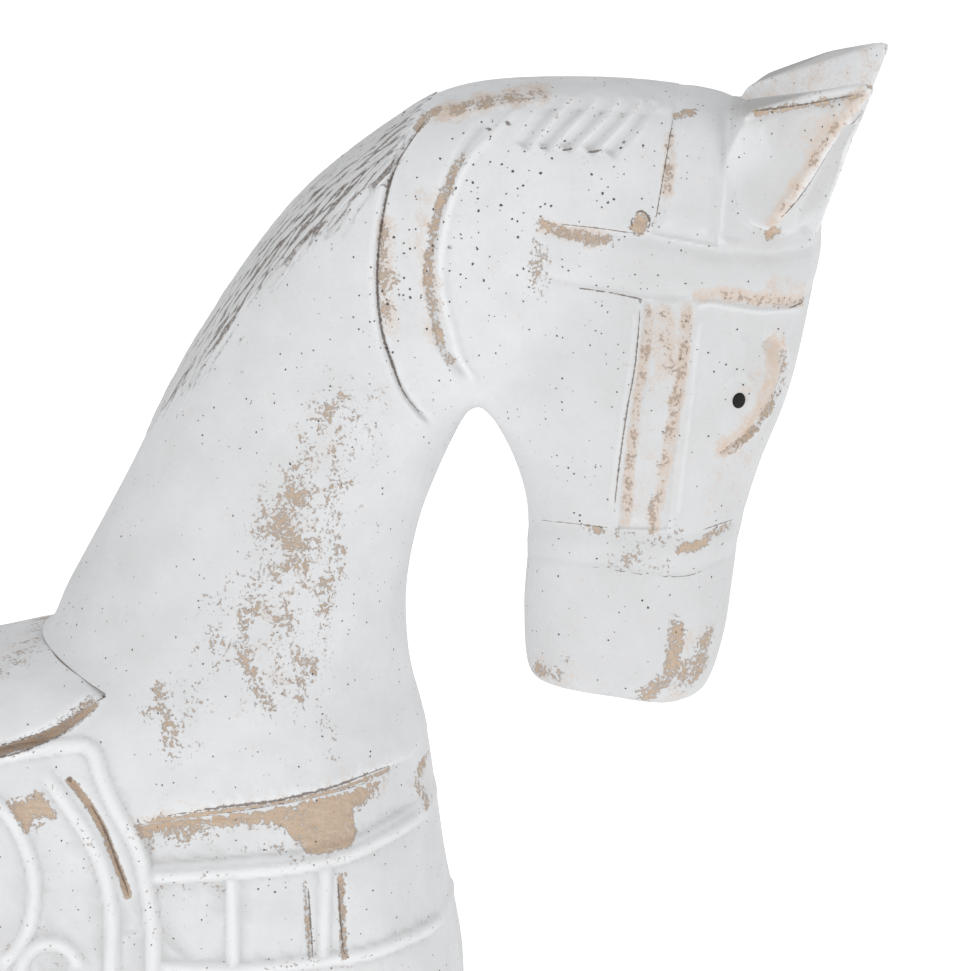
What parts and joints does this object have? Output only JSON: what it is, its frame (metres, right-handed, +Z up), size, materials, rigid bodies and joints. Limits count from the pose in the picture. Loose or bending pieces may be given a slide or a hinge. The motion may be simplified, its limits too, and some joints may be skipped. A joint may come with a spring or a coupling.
{
  "type": "rocking horse",
  "caption": "Carved wooden rocking horse with bridle, breast collar and saddle in relief, doweled together on legs that stand on bow runners tied by crossbars.",
  "frame": {"origin": "on the ground under the middle of the horse, halfway along and between the runners", "axes": "+X forward, the way the horse faces; +Y to the horse's left; +Z up"},
  "size_m": [0.527, 0.144, 0.5072],
  "materials": {
    "limewashed_wood": "chalky white paint on pale wood, rubbed back to the wood on edges",
    "bare_wood": "unfinished pale wood",
    "eye_black": "glossy black paint on a small peg",
    "screw_steel": "dull zinc plated steel"
  },
  "bodies": {
    "root": {"head_and_neck": "limewashed_wood", "body": "limewashed_wood", "saddle": "limewashed_wood", "tail": "limewashed_wood", "fore_leg_left": "limewashed_wood", "fore_leg_right": "limewashed_wood", "hind_leg_left": "limewashed_wood", "hind_leg_right": "limewashed_wood", "runner_left": "limewashed_wood", "runner_right": "limewashed_wood", "crossbar_front": "limewashed_wood", "crossbar_middle": "limewashed_wood", "crossbar_rear": "limewashed_wood", "eye_left": "eye_black", "eye_right": "eye_black", "neck_dowel_front": "bare_wood", "neck_dowel_rear": "bare_wood", "saddle_dowel_front": "bare_wood", "saddle_dowel_rear": "bare_wood", "leg_dowel_fore_left": "bare_wood", "leg_dowel_fore_right": "bare_wood", "leg_dowel_hind_left": "bare_wood", "leg_dowel_hind_right": "bare_wood", "hoof_dowel_fore_left": "bare_wood", "hoof_dowel_fore_right": "bare_wood", "hoof_dowel_hind_left": "bare_wood", "hoof_dowel_hind_right": "bare_wood", "tail_dowel": "bare_wood", "screw_front_left": "screw_steel", "screw_front_right": "screw_steel", "screw_middle_left": "screw_steel", "screw_middle_right": "screw_steel", "screw_rear_left": "screw_steel", "screw_rear_right": "screw_steel"}
  },
  "joints": []
}
